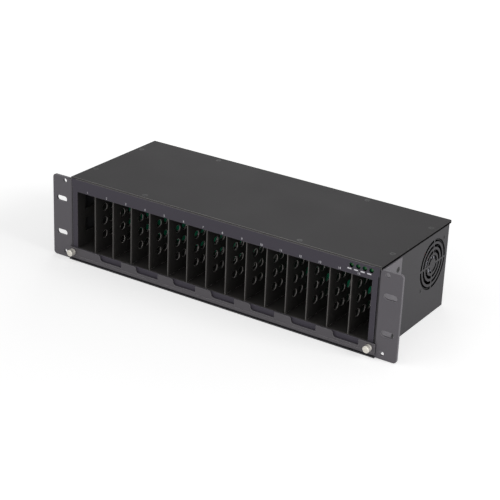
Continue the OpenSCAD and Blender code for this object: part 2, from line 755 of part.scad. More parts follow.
// One DC plug for each slot: a block on the backplane and a hollow barrel that enters the converter
module dc_plugs() color(plastic) for (i = [1:slot_count]) difference() {
    union() {
        block([slot_x(i) - jack_w / 2, slot_x(i) + jack_w / 2], [pcb_front_y - jack_t, pcb_front_y],
            [jack_z - jack_w / 2, jack_z + jack_w / 2]);
        rod_y([slot_x(i), pcb_front_y - jack_t - jack_barrel_len, jack_z], jack_barrel_d, jack_barrel_len);
    }
    rod_y([slot_x(i), pcb_front_y - jack_t - jack_barrel_len - cut, jack_z], jack_bore_d,
        jack_barrel_len + cut);
}

// Sockets on the backplane's rear face, one for each power module's plug
module backplane_sockets() color(plastic) for (s = [-1, 1]) difference() {
    block([module_x(s) - plug_w / 2 - plug_wall - fit_gap, module_x(s) + plug_w / 2 + plug_wall + fit_gap],
        [pcb_front_y + pcb_t, pcb_front_y + pcb_t + plug_len], [plug_z() - plug_h / 2 - plug_wall - fit_gap,
        plug_z() + plug_h / 2 + plug_wall + fit_gap]);
    block([module_x(s) - plug_w / 2 - slide_gap, module_x(s) + plug_w / 2 + slide_gap],
        [pcb_front_y + pcb_t + plug_wall, pcb_front_y + pcb_t + plug_len + cut],
        [plug_z() - plug_h / 2 - slide_gap, plug_z() + plug_h / 2 + slide_gap]);
}

// Height of the plugs that join the power boards to the backplane
function plug_z() = module_low_z + module_case_t + board_up + board_t + plug_h / 2;

module lamp_board() color(board_green) union() {
    mid_x = lamp_first_x + (lamp_count - 1) * lamp_pitch / 2;
    block([mid_x - lamp_board_w / 2, mid_x + lamp_board_w / 2], [lamp_board_y, lamp_board_y + pcb_t],
        [lamp_z - lamp_board_h / 2, lamp_z + lamp_board_h / 2]);
    for (k = [-1, 1])
        rod_y([mid_x + k * (lamp_board_w - lamp_board_post_d) / 2, wall_front_y - fit_gap, lamp_z],
            lamp_board_post_d, lamp_board_y - wall_front_y + fit_gap);
}

module status_lamps() color(lamp_green) for (i = [0:lamp_count - 1])
    translate([lamp_first_x + i * lamp_pitch, lamp_face_y, lamp_z]) union() {
        intersection() {
            translate([0, lamp_d / 2, 0]) sphere(d = lamp_d);
            block([-lamp_d, lamp_d], [0, lamp_d / 2], [-lamp_d, lamp_d]);
        }
        rod_y([0, lamp_d / 2, 0], lamp_d, lamp_len - lamp_d / 2);
        rod_y([0, lamp_len - lamp_base_t, 0], lamp_base_d, lamp_base_t);
    }

// Flat ribbon from the lamp board over the roof to the backplane
module lamp_ribbon() color(steel) {
    w = ribbon_w;
    t = wire_d;
    z = roof_z + sheet_t;
    x0 = lamp_first_x - lamp_pitch / 2;
    block([x0, x0 + w], [lamp_board_y + pcb_t, lamp_board_y + pcb_t + t], [z, lamp_z + lamp_board_h / 4]);
    block([x0, x0 + w], [lamp_board_y + pcb_t + t, cage_rear_y - sheet_t - t], [z, z + t]);
    block([x0, x0 + w], [cage_rear_y - sheet_t - t, cage_rear_y - sheet_t], [z, roof_z + cage_lip_h]);
    block([x0, x0 + w], [cage_rear_y - sheet_t - t, pcb_front_y + pcb_t + t],
        [roof_z + cage_lip_h, roof_z + cage_lip_h + t]);
}

// A fan's place on the right, its axis along +Z from the side wall inwards
module at_fan() {
    translate([side_in_x, fan_y, fan_z]) rotate([0, -90, 0]) children();
}

// The same place from the fan's inner face, its axis along +Z outwards to the side wall
module at_fan_inner() {
    at_fan() translate([0, 0, fan_t]) mirror([0, 0, 1]) children();
}

// Outline of a fan's square flange with round corners
module fan_outline() {
    square([fan_size - 2 * fan_corner_r, fan_size], center = true);
    square([fan_size, fan_size - 2 * fan_corner_r], center = true);
    for (x = [-1, 1], y = [-1, 1]) translate([x, y] * (fan_size / 2 - fan_corner_r)) circle(r = fan_corner_r);
}

// A fan's frame: two flanges on a tube, struts next to the grille that carry the bearing, and a groove
// where the wires leave
module fan_frame(s) color(plastic) on_side(s) difference() {
    back_z = fan_t - fan_back_in - fan_back_t;
    at_fan_inner() difference() {
        union() {
            for (z = [0, fan_t - fan_flange_t]) translate([0, 0, z])
                linear_extrude(fan_flange_t) fan_outline();
            cylinder(r = fan_tube_r, h = fan_t);
        }
        difference() {
            translate([0, 0, -cut]) cylinder(r = fan_bore_r, h = fan_t + 2 * cut);
            translate([0, 0, back_z]) cylinder(r = fan_hub_r, h = fan_back_t);
            translate([0, 0, back_z - fan_bearing_len])
                cylinder(r = fan_bearing_r, h = fan_bearing_len + cut);
            for (i = [0:fan_strut_count - 1]) rotate([0, 0, (i + 1 / 2) * 360 / fan_strut_count])
                translate([fan_hub_r / 2, -fan_strut_w / 2, back_z])
                    cube([fan_size, fan_strut_w, fan_back_t]);
        }
        translate([0, 0, back_z - fan_bearing_len - cut])
            cylinder(d = fan_shaft_d + 2 * shaft_gap, h = fan_bearing_len + cut);
        for (x = [-1, 1], y = [-1, 1]) translate([x * fan_screw_span / 2, y * fan_screw_span / 2, -cut])
            cylinder(d = fan_hole_d, h = fan_t + 2 * cut);
    }
    block([side_in_x - fan_back_in, side_x], [fan_y - fan_size, fan_y - fan_hub_r],
        [lead_z(0) - wire_d, lead_z(1) + wire_d]);
}

// A fan's rotor: a cup-shaped hub with its shaft, and curved blades set at an angle
module fan_rotor(s) color(plastic) on_side(s) at_fan_inner() union() {
    hub_h = fan_t - fan_back_in - fan_back_t - fan_hub_gap - rotor_front_gap;
    translate([0, 0, rotor_front_gap]) difference() {
        cylinder(r = fan_hub_r, h = hub_h);
        translate([0, 0, rotor_hub_t]) cylinder(r = fan_hub_r - rotor_hub_t, h = hub_h);
    }
    translate([0, 0, rotor_front_gap]) cylinder(d = fan_shaft_d, h = hub_h + fan_hub_gap);
    for (i = [0:blade_count - 1]) rotate([0, 0, i * 360 / blade_count]) intersection() {
        translate([0, 0, rotor_front_gap]) difference() {
            cylinder(r = fan_bore_r - rotor_tip_gap, h = hub_h);
            translate([0, 0, -cut]) cylinder(r = fan_hub_r - rotor_hub_t / 2, h = hub_h + 2 * cut);
        }
        translate([fan_hub_r / 2, 0, rotor_front_gap + hub_h / 2]) rotate([blade_angle, 0, 0])
            rotate([90, 0, 90]) linear_extrude(fan_bore_r) translate([0, -blade_chord_r]) intersection() {
                difference() {
                    circle(r = blade_chord_r + blade_t / 2);
                    circle(r = blade_chord_r - blade_t / 2);
                }
                translate([-blade_w / 2, 0]) square([blade_w, 2 * blade_chord_r]);
            }
    }
}

// Height of one of a fan's two wires where they leave it
function lead_z(k) = fan_z + fan_lead_up + (k - 1 / 2) * wire_pitch;

// A straight length of wire in the plane beside the side wall
module wire_to(p, q) {
    step = q - p;
    translate(p) rotate([atan2(step.z, step.y), 0, 0]) rotate([-90, 0, 0])
        cylinder(d = wire_d, h = norm(step));
}

// A fan's two wires: from the hub along a strut, out through the groove and round to the backplane
module fan_lead(s) color("#8c1f1c") on_side(s) for (k = [0, 1]) {
    x = side_in_x - fan_back_in / 2;
    end_x = bay_w / 2 - pcb_side_margin - wire_d - (1 - k) * wire_pitch;
    out_y = pcb_front_y + pcb_t + fan_front_gap / 2;
    aside = (k - 1 / 2) * wire_pitch;
    turn = [x, fan_y - lead_z(k) + fan_z + sqrt(2) * aside, lead_z(k)];
    start = [x, fan_y - (fan_lead_r - aside) * sqrt(1 / 2), fan_z + (fan_lead_r + aside) * sqrt(1 / 2)];
    rod_x([x - fan_back_in / 2, start.y, start.z], wire_d, fan_back_in / 2);
    wire_to(start, turn);
    rod_y([x, out_y, lead_z(k)], wire_d, turn.y - out_y);
    rod_x([end_x, out_y, lead_z(k)], wire_d, x - end_x);
    rod_y([end_x, pcb_front_y + pcb_t, lead_z(k)], wire_d, fan_front_gap / 2);
    for (p = [start, turn, [x, out_y, lead_z(k)], [end_x, out_y, lead_z(k)]]) translate(p) sphere(d = wire_bend_d);
}

// Places of the rear panel's screws, heads to the rear
module at_rear_screws() {
    for (s = [-1, 1], z = [bay_low_z + flange_w / 2, fan_z - fan_size / 2 - flange_w / 2])
        translate([s * (side_in_x - flange_w / 2), rear_y, z]) rotate([-90, 0, 0]) children();
}

module rear_screws() color(plastic) at_rear_screws()
    flat_screw(screw_d, screw_head_d, screw_cone_h, screw_len);

module rear_panel() color(paint) difference() {
    union() {
        block([-side_in_x + fit_gap, side_in_x - fit_gap], [rear_in_y, rear_y], [sheet_t, side_top_z]);
        block([-side_in_x + flange_w + fit_gap, side_in_x - flange_w - fit_gap],
            [rear_in_y - flange_w, rear_in_y], [side_top_z - sheet_t, side_top_z]);
    }
    for (s = [-1, 1]) block([module_x(s) - module_w / 2 - slide_gap, module_x(s) + module_w / 2 + slide_gap],
        [rear_in_y - cut, rear_y + cut], [module_low_z - slide_gap, module_low_z + module_h + slide_gap]);
    at_rear_screws() flat_screw_hole(screw_d, screw_head_d, screw_cone_h, screw_len);
    at_cover_screws() translate([0, 0, -screw_len]) cylinder(d = screw_d + 2 * fit_gap, h = screw_len);
    for (s = [-1, 1]) at_plate_screws(s) translate([0, 0, -plate_screw_len - cut])
        cylinder(d = plate_screw_d + 2 * thread_gap, h = plate_screw_len + 2 * cut);
}

// Rails on the tray that carry the power modules, each with an upright guide on its outer edge
module bay_rails() color(steel) for (s = [-1, 1], k = [-1, 1]) translate([module_x(s), 0, 0]) on_side(k) {
    x = module_w / 2 + slide_gap;
    y = [module_front_y, rear_in_y - slide_gap];
    block([x - rail_w, x], y, [bay_low_z - sheet_t, bay_low_z]);
    block([x, x + sheet_t], y, [sheet_t, bay_low_z + rail_guide_h]);
    block([x - rail_w, x - rail_w + sheet_t], y, [sheet_t, bay_low_z - sheet_t]);
}

// Places of a module's face-plate screws, heads to the rear
module at_plate_screws(s) {
    for (k = [-1, 1])
        translate([module_x(s) + k * (module_w / 2 + plate_screw_margin), module_y,
            module_low_z + module_h / 2]) rotate([-90, 0, 0]) children();
}

// A power module's case, open at the rear, with vent slits in its sides and a way for the plug
module module_case(s) color(steel) translate([module_x(s), 0, 0]) difference() {
    y1 = rear_y + rear_gap;
    top_z = module_low_z + module_h;
    block([-module_w / 2, module_w / 2], [module_front_y, y1], [module_low_z, top_z]);
    block([-module_w / 2 + module_case_t, module_w / 2 - module_case_t],
        [module_front_y + module_case_t, y1 + cut], [module_low_z + module_case_t, top_z - module_case_t]);
    block([-plug_w / 2 - 2 * plug_wall, plug_w / 2 + 2 * plug_wall],
        [module_front_y - cut, module_front_y + module_case_t + cut],
        [plug_z() - plug_h / 2 - 2 * plug_wall, plug_z() + plug_h / 2 + 2 * plug_wall]);
    for (i = [0:case_vent_count - 1], k = [-1, 1])
        translate([k * module_w / 2, module_front_y + vent_slot_pitch * (i + 1), top_z - vent_slot_pitch])
            block([-2 * module_case_t, 2 * module_case_t], [0, vent_slot_w], [-vent_slot_len, 0]);
}

// A module's face plate, cut out for the inlet and slotted above the handle
module module_plate(s) color(bezel_paint) translate([module_x(s), 0, 0]) difference() {
    plate_x = module_w / 2 + module_plate_margin;
    block([-plate_x, plate_x], [rear_y + rear_gap, module_y],
        [module_low_z - slide_gap, module_low_z + module_h + slide_gap]);
    translate([inlet_x, 0, module_low_z + inlet_z])
        block([-inlet_w / 2 - fit_gap, inlet_w / 2 + fit_gap], [rear_y, module_y + cut],
            [-inlet_h / 2 - fit_gap, switch_up + inlet_h / 2 + fit_gap]);
    for (i = [0:plate_vent_count - 1])
        slot_y([handle_x, rear_y, module_low_z + module_h - vent_slot_pitch * (i + 1)],
            2 * vent_slot_len, vent_slot_w, module_plate_t + 2 * cut);
    translate([-module_x(s), 0, 0]) at_plate_screws(s) translate([0, 0, -plate_screw_len])
        cylinder(d = plate_screw_d + 2 * fit_gap, h = 2 * plate_screw_len);
}

// A bent-bar handle with two posts and round feet
module module_handle(s) color(steel)
translate([module_x(s) + handle_x, module_y, module_low_z + handle_z]) union() {
    for (k = [-1, 1]) translate([k * handle_w / 2, 0, 0]) {
        rod_y([0, 0, 0], handle_foot_d, handle_foot_t);
        rod_y([0, 0, 0], handle_d, handle_reach - handle_d);
        translate([-k * handle_d, handle_reach - handle_d, 0]) rotate([0, 0, k > 0 ? 0 : 90])
            rotate_extrude(angle = 90) translate([handle_d, 0]) circle(d = handle_d);
    }
    rod_x([-handle_w / 2 + handle_d, handle_reach, 0], handle_d, handle_w - 2 * handle_d);
}

// A mains inlet and its switch's housing in one moulding: a rim on the face plate, the inlet's
// socket with three flat pins, and above it the pocket where the rocker turns on its axle
module mains_inlet(s) color(plastic)
translate([module_x(s) + inlet_x, module_y, module_low_z + inlet_z]) union() {
    difference() {
        union() {
            round_plate_y([-inlet_rim_w / 2, inlet_rim_w / 2],
                [-inlet_rim_h / 2, switch_up + inlet_rim_h / 2], 0, inlet_rim_t, inlet_rim_t);
            block([-inlet_w / 2, inlet_w / 2], [-inlet_body_len, 0], [-inlet_h / 2, switch_up + inlet_h / 2]);
        }
        block([-inlet_w / 2 + inlet_wall, inlet_w / 2 - inlet_wall],
            [inlet_rim_t - inlet_deep, inlet_rim_t + cut],
            [-inlet_h / 2 + inlet_wall, inlet_h / 2 - inlet_wall]);
        block([-switch_w / 2, switch_w / 2], [-switch_deep, inlet_rim_t + cut],
            [switch_up - rocker_r - rocker_gap, switch_up + rocker_r + rocker_gap]);
    }
    for (k = [-1, 0, 1]) block([k * pin_pitch - pin_w / 2, k * pin_pitch + pin_w / 2],
        [inlet_rim_t - inlet_deep, inlet_rim_t - inlet_deep + pin_len],
        [(k == 0 ? pin_up : 0) - pin_h / 2, (k == 0 ? pin_up : 0) + pin_h / 2]);
    rod_x([-switch_w / 2, rocker_axis_y, switch_up], rocker_axle_d, switch_w);
}

// A rocker with a hollowed face, bored for its axle and set in its on position
module rocker_switch(s) color(plastic)
    translate([module_x(s) + inlet_x, module_y + rocker_axis_y, module_low_z + inlet_z + switch_up])
    rotate([rocker_tilt, 0, 0]) difference() {
        rod_x([-switch_w / 2 + rocker_gap, 0, 0], 2 * rocker_r, switch_w - 2 * rocker_gap);
        rod_x([-switch_w, rocker_face_y + rocker_hollow_r, 0], 2 * rocker_hollow_r, 2 * switch_w);
        block([-switch_w, switch_w], [-2 * rocker_r, -rocker_back_y], [-rocker_r, rocker_r]);
        rod_x([-switch_w, 0, 0], rocker_axle_d + 2 * shaft_gap, 2 * switch_w);
    }

// A module's two face-plate screws
module module_screws(s) color(steel) at_plate_screws(s)
    pan_screw(plate_screw_d, plate_screw_head_d, plate_screw_head_h, plate_screw_len);

// A power module's circuit board with its transformer, capacitor, heat sink and rear plug
module power_board(s) color(board_green) translate([module_x(s), 0, 0]) {
    z0 = module_low_z + module_case_t + board_up;
    z1 = z0 + board_t;
    x1 = module_w / 2 - board_margin;
    y0 = module_front_y + 2 * module_case_t;
    y1 = rear_y - inlet_body_len;
    block([-x1, x1], [y0, y1], [z0, z1]);
    for (x = [-x1 + board_screw_d, x1 - board_screw_d], y = [y0 + board_screw_d, y1 - board_screw_d])
        translate([x, y, module_low_z + module_case_t]) cylinder(d = board_screw_d, h = board_up);
    block([0, core_w], [y0 + plug_len, y0 + plug_len + core_h], [z1, z1 + core_h]);
    translate([-core_w / 2, y0 + plug_len + capacitor_d / 2, z1]) cylinder(d = capacitor_d, h = capacitor_h);
    block([-x1 + sink_t, -x1 + 2 * sink_t], [y0, y1], [z1, z1 + sink_h]);
    block([-plug_w / 2, plug_w / 2], [pcb_front_y + pcb_t + plug_wall + slide_gap, y0 + plug_wall],
        [plug_z() - plug_h / 2, plug_z() + plug_h / 2]);
}

base_tray();
top_cover();
front_bezel();
retaining_bar();
rear_panel();
slot_floor();
slot_roof();
ear_screws();
cover_screws();
rear_screws();
fan_screws();
panel_screws();
bay_rails();
backplane_board();
backplane_screws();
backplane_sockets();
dc_plugs();
lamp_board();
status_lamps();
lamp_ribbon();
for (name = SIDES) {
    s = side_sign(name);
    ear(s);
    thumbscrew(s);
    inner_panel(s);
    fan_frame(s);
    fan_rotor(s);
    fan_lead(s);
    module_case(s);
    module_plate(s);
    module_handle(s);
    module_screws(s);
    mains_inlet(s);
    rocker_switch(s);
    power_board(s);
}
for (i = [1:divider_count]) {
    divider(i);
}
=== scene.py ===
"""Looks of a media converter chassis, dressed over its fixed CAD frame.

The frame is in metres, X to the right seen from the front, Y to the rear and Z up, with the
origin at the middle of the case's front bottom edge. Every size here is in millimetres unless
its name or comment says otherwise, and becomes metres through MM.
"""

import logging
import math
from dataclasses import dataclass, field
from enum import Enum

import bmesh
import bpy
from mathutils import Matrix, Vector


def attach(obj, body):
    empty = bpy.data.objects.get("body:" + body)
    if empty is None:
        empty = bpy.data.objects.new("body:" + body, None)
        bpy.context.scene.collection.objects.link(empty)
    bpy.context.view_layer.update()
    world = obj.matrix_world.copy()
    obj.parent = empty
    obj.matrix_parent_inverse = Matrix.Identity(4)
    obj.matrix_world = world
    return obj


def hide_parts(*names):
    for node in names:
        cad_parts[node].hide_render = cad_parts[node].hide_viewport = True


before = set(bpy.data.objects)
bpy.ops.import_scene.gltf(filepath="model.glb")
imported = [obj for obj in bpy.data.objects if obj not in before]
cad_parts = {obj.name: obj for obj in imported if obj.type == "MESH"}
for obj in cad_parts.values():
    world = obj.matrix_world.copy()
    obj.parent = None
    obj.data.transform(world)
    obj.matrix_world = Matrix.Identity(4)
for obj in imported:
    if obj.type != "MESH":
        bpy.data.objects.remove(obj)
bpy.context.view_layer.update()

LOG = logging.getLogger("chassis")
MM = 0.001
SIDES = {"left": -1, "right": 1}
WHITE = (1.0, 1.0, 1.0, 1.0)
# Points closer than this, in metres, become one
WELD_M = 1e-6
# Edges that turn by more than this are shaded sharp
SHARP_DEG = 35

# Sizes that the pieces here share with the chassis. The grille's slots end inside GRILLE_R.
SLOT_COUNT = 15
SLOT_PITCH = 27.4
CASE_WIDTH = 428.0
CASE_HEIGHT = 108.5
BACKPLANE_Y = 96.2
FAN_Y, FAN_Z, FAN_WALL_X = 130.5, 65.3, 211.4
GRILLE_R = 36.0


def linear(hex_colour: str) -> tuple[float, float, float, float]:
    """Turn an sRGB hex colour into Blender's linear RGBA.

    Args:
        hex_colour: Six hex digits after a hash.

    Returns:
        Linear red, green, blue and an alpha of one.
    """
    values = [int(hex_colour[i:i + 2], 16) / 255 for i in (1, 3, 5)]
    red, green, blue = (v / 12.92 if v <= 0.04045 else ((v + 0.055) / 1.055) ** 2.4
                        for v in values)
    return red, green, blue, 1.0


def add(tree: bpy.types.NodeTree, kind: str, settings: dict | None = None,
        **links: bpy.types.NodeSocket) -> bpy.types.Node:
    """Add a shader node, set its sockets and settings, and link what feeds it.

    Args:
        tree: The material's or world's node tree.
        kind: The node's type without the ShaderNode prefix.
        settings: Attributes of the node, and values of its sockets under their index or name.
        links: Output sockets by the name of the input that they feed, with _ for a space, or by
            in and the input's index.

    Returns:
        The new node.
    """
    node = tree.nodes.new("ShaderNode" + kind)
    for key, value in (settings or {}).items():
        if isinstance(key, int) or key in node.inputs:
            node.inputs[key].default_value = value
        else:
            setattr(node, key, value)
    for key, output in links.items():
        indexed = key.startswith("in") and key[2:].isdigit()
        name = int(key[2:]) if indexed else key.replace("_", " ")
        tree.links.new(output, node.inputs[name])
    return node


def new_tree(name: str) -> tuple[bpy.types.Material, bpy.types.NodeTree]:
    """Make an empty material.

    Args:
        name: The material's name.

    Returns:
        The material and its node tree.
    """
    material = bpy.data.materials.new(name)
    material.use_nodes = True
    material.node_tree.nodes.clear()
    return material, material.node_tree


class Pattern(Enum):
    """How a finish varies over its surface."""

    GRAIN = "fine grain"
    SPANGLE = "zinc spangle"
    TRACES = "copper traces under solder mask"
    RIBBON = "flat cable's wires"


# What all finishes share. An edge takes a painted highlight, its finish's edge colour, where its
# rounded normal leaves the true one, from EDGE_STARTS to EDGE_FULL of their cosine. Dust follows
# broad clouds of CLOUDS_PER_M, between DUST_FROM and DUST_TO of their strength.
EDGE_STARTS, EDGE_FULL = 0.995, 0.86
CLOUDS_PER_M = 14.0
DUST_FROM, DUST_TO, DUST_MOST = 0.35, 0.7, 0.25
ROUGH_SPREAD = 0.06
RELIEF = 0.6
# The share of a cell that bare board takes between two copper traces
TRACE_GAP = 0.62
# Blender's wave bands stand this many times closer than its scale says
WAVE_CLOSER = 20
# A face looks straight to the front above the first cosine, and is a slot's wall below the second
LOOKS_AHEAD, LOOKS_ASIDE = 0.98, 0.5
SLOT_SHADE = "#050505"


@dataclass(frozen=True)
class Finish:
    """A surface finish: what it is made of, how it was made and how it looks.

    grain is the size of the pattern's features, depth the height of its relief and edge the
    radius of the rounded edges, all in millimetres. Those edges take edge_highlight_colour as a
    painted highlight. front is the colour of the faces that look straight to the front, where it
    differs, a painted highlight, and shaded_grille keeps the walls of the fan grille's slots dark,
    as the fan behind leaves them no light: painted shade.
    """

    name: str
    colour: str
    second: str
    edge_highlight_colour: str
    roughness: float
    metallic: float = 0.0
    specular: float = 0.5
    coat: float = 0.0
    grain: float = 1.2
    depth: float = 0.02
    edge: float = 0.35
    pattern: Pattern = Pattern.GRAIN
    transmission: float = 0.0
    mix: float = 0.5
    front: str = ""
    shaded_grille: bool = False

    def _mask(self, tree: bpy.types.NodeTree, place: bpy.types.NodeSocket) -> bpy.types.NodeSocket:
        """Add the finish's pattern.

        Args:
            tree: The material's node tree.
            place: Object coordinates.

        Returns:
            The pattern's strength over the surface, from 0 to 1.
        """
        scale = 1 / (self.grain * MM)
        if self.pattern is Pattern.SPANGLE:
            cells = add(tree, "TexVoronoi", {"Scale": scale}, Vector=place)
            share = add(tree, "Math", {"operation": "FRACT"}, in0=cells.outputs["Color"])
            return share.outputs[0]
        if self.pattern is Pattern.TRACES:
            settings = {"Scale": scale, "distance": "MANHATTAN", "feature": "F1"}
            cells = add(tree, "TexVoronoi", settings, Vector=place)
            ramp = add(tree, "ValToRGB", {}, Fac=cells.outputs["Distance"])
            ramp.color_ramp.interpolation = "CONSTANT"
            ramp.color_ramp.elements[1].position = TRACE_GAP
            return ramp.outputs["Color"]
        if self.pattern is Pattern.RIBBON:
            settings = {"Scale": scale / WAVE_CLOSER, "bands_direction": "X"}
            return add(tree, "TexWave", settings, Vector=place).outputs["Color"]
        settings = {"Scale": scale, "Detail": 3.0, "Roughness": 0.55}
        return add(tree, "TexNoise", settings, Vector=place).outputs["Fac"]

    def _front_highlight(self, tree: bpy.types.NodeTree, normal: bpy.types.NodeSocket,
               colour: bpy.types.NodeSocket) -> bpy.types.NodeSocket:
        """Paint a highlight on the faces that look straight to the front, in their own colour.

        Args:
            tree: The material's node tree.
            normal: The true normal.
            colour: The colour everywhere else.

        Returns:
            The mixed colour.
        """
        ahead = add(tree, "VectorMath", {"operation": "DOT_PRODUCT", 1: (0.0, -1.0, 0.0)},
                    in0=normal)
        flat = add(tree, "Math", {"operation": "GREATER_THAN", 1: LOOKS_AHEAD},
                   in0=ahead.outputs["Value"])
        return self._over(tree, flat.outputs[0], colour, self.front)

    def _grille(self, tree: bpy.types.NodeTree, normal: bpy.types.NodeSocket,
                place: bpy.types.NodeSocket, colour: bpy.types.NodeSocket) -> bpy.types.NodeSocket:
        """Darken the walls of the fan grille's slots.

        Args:
            tree: The material's node tree.
            normal: The true normal.
            place: Object coordinates.
            colour: The colour everywhere else.

        Returns:
            The mixed colour.
        """
        aside = add(tree, "VectorMath", {"operation": "MULTIPLY", 1: (0.0, 1.0, 1.0)}, in0=place)
        reach = add(tree, "VectorMath",
                    {"operation": "DISTANCE", 1: (0.0, FAN_Y * MM, FAN_Z * MM)},
                    in0=aside.outputs[0])
        near = add(tree, "Math", {"operation": "LESS_THAN", 1: GRILLE_R * MM},
                   in0=reach.outputs["Value"])
        turned = add(tree, "VectorMath", {"operation": "MULTIPLY", 1: (1.0, 0.0, 0.0)}, in0=normal)
        length = add(tree, "VectorMath", {"operation": "LENGTH"}, in0=turned.outputs[0])
        wall = add(tree, "Math", {"operation": "LESS_THAN", 1: LOOKS_ASIDE},
                   in0=length.outputs["Value"])
        mask = add(tree, "Math", {"operation": "MULTIPLY"}, in0=near.outputs[0],
                   in1=wall.outputs[0])
        return self._over(tree, mask.outputs[0], colour, SLOT_SHADE)

    @staticmethod
    def _over(tree: bpy.types.NodeTree, mask: bpy.types.NodeSocket, under: bpy.types.NodeSocket,
              colour: str) -> bpy.types.NodeSocket:
        """Lay a plain colour over another by a mask.

        Args:
            tree: The material's node tree.
            mask: Where the new colour shows, from 0 to 1.
            under: The colour below.
            colour: The new colour as sRGB hex.

        Returns:
            The mixed colour.
        """
        mixed = add(tree, "Mix", {"data_type": "RGBA", 7: linear(colour)}, in0=mask, in6=under)
        return mixed.outputs[2]

    def _toned(self, tree: bpy.types.NodeTree, mask: bpy.types.NodeSocket,
               broad: bpy.types.NodeSocket) -> bpy.types.NodeSocket:
        """Add the finish's two tones, by its pattern and by broad clouds of dust.

        Args:
            tree: The material's node tree.
            mask: The pattern's strength.
            broad: The clouds' strength.

        Returns:
            The colour, before edges and shade.
        """
        grainy = add(tree, "MapRange", {"To Max": self.mix}, Value=mask)
        tones = {"data_type": "RGBA", 6: linear(self.colour), 7: linear(self.second)}
        base = add(tree, "Mix", tones, in0=grainy.outputs[0])
        dusty = add(tree, "MapRange",
                    {"From Min": DUST_FROM, "From Max": DUST_TO, "To Max": DUST_MOST}, Value=broad)
        return self._over(tree, dusty.outputs[0], base.outputs[2], self.second)

    def build(self) -> bpy.types.Material:
        """Make the finish's material.

        Returns:
            The material.
        """
        material, tree = new_tree(self.name)
        place = add(tree, "TexCoord").outputs["Object"]
        mask = self._mask(tree, place)
        clouds = add(tree, "TexNoise", {"Scale": CLOUDS_PER_M, "Detail": 2.0}, Vector=place)
        broad = clouds.outputs["Fac"]
        bevel = add(tree, "Bevel", {"samples": 6, "Radius": self.edge * MM})
        true_normal = add(tree, "NewGeometry").outputs["Normal"]
        facing = add(tree, "VectorMath", {"operation": "DOT_PRODUCT"}, in0=bevel.outputs[0],
                     in1=true_normal)
        # Painted highlight: rounded edges take the edge colour where they would catch the light
        edge_highlight = add(tree, "MapRange", {"From Min": EDGE_STARTS, "From Max": EDGE_FULL},
                   Value=facing.outputs["Value"])
        toned = self._toned(tree, mask, broad)
        colour = self._over(tree, edge_highlight.outputs[0], toned, self.edge_highlight_colour)
        # Painted highlight: a lighter colour on the faces that look straight to the front
        if self.front:
            colour = self._front_highlight(tree, true_normal, colour)
        if self.shaded_grille:
            colour = self._grille(tree, true_normal, place, colour)
        rough = add(tree, "MapRange", {"To Min": self.roughness - ROUGH_SPREAD,
                                       "To Max": self.roughness + ROUGH_SPREAD}, Value=broad)
        bump = add(tree, "Bump", {"Strength": RELIEF, "Distance": self.depth * MM}, Height=mask,
                   Normal=bevel.outputs[0])
        shader = add(tree, "BsdfPrincipled", {
            "Metallic": self.metallic, "Specular IOR Level": self.specular,
            "Coat Weight": self.coat, "Transmission Weight": self.transmission},
            Base_Color=colour, Roughness=rough.outputs[0], Normal=bump.outputs[0])
        add(tree, "OutputMaterial", {}, Surface=shader.outputs[0])
        return material


# Sprayed polyester powder, baked: a dull satin with a fine sandy grain. The real grain is about
# 0.3 mm and is drawn four times as coarse so that it shows.
CASE_COAT = Finish("powder-coated steel case", "#383738", "#403f40", "#94918d", 0.62,
                   specular=0.1, edge=0.8)
# The same coat on the tray, drawn lighter than the case's as painted light on the sides; its
# narrow grille webs need thinner edges, and its grille's slot walls take painted shade
LIT_TRAY_COAT = Finish("powder-coated steel tray", "#444345", "#4d4c4e", "#6f6d71", 0.6,
                   specular=0.12, edge=0.3, shaded_grille=True)
# A smoother and slightly violet coat on the front
BEZEL_COAT = Finish("powder-coated steel bezel", "#46424b", "#4d4a53", "#7c797f", 0.5,
                    specular=0.2, edge=0.5)
# The same coat on the retaining bar, a shade lighter and greyer
BAR_COAT = Finish("powder-coated steel bar", "#605d61", "#686569", "#949194", 0.5,
                  specular=0.2, edge=0.6)
# The ears' coat is the palest, and catches the light on its bends
EAR_COAT = Finish("powder-coated steel ear", "#625f64", "#6b686d", "#9a979b", 0.5,
                  specular=0.3, edge=0.5)
# Thinner satin coat on the inner sheets, which see little light
INNER_COAT = Finish("satin-coated steel sheet", "#353332", "#3d3b3a", "#6f6c69", 0.45,
                    specular=0.25, edge=0.4)
# The same on the dividers, with painted highlights: near-white on the edges and hole rims, and a
# lighter colour on the faces that look straight to the front
DIVIDER_COAT = Finish("satin-coated steel divider", "#343231", "#3c3a39", "#ebe7e3", 0.45,
                      specular=0.25, edge=0.55, front="#86827f")
# Painted highlight: a thin light grey line on a cut edge and on a fold, where they catch the light
EDGE_HIGHLIGHT_LINE = Finish("sheared steel edge", "#82807d", "#7a7875", "#8c8a87", 0.5, specular=0.3,
                 grain=8.0, edge=0.05)
# Painted shade: a flat black for the gap under a sheet's lip, which gets no light
GAP_SHADE = Finish("unlit gap", "#060606", "#0a0a0a", "#060606", 0.9, specular=0.02, edge=0.02)
# Bright nickel over turned steel: nearly white, with soft reflections
NICKEL = Finish("nickel-plated steel", "#d9d5cb", "#c4bfb3", "#f2efe8", 0.24, 1.0, grain=0.8,
                depth=0.01, edge=0.25)
# Satin nickel over the knurl: light scatters in it, so it is drawn as half metal
SATIN_NICKEL = Finish("satin nickel-plated brass", "#f0ece3", "#dcd7cc", "#ffffff", 0.42, 0.45,
                      grain=0.8, depth=0.01, edge=0.25)
# Chemical black on screw steel: dark, slightly oily
BLACK_OXIDE = Finish("black-oxide steel", "#161617", "#1f1f21", "#4a4a4c", 0.45, 0.3,
                     specular=0.25, grain=0.6, depth=0.01, edge=0.2)
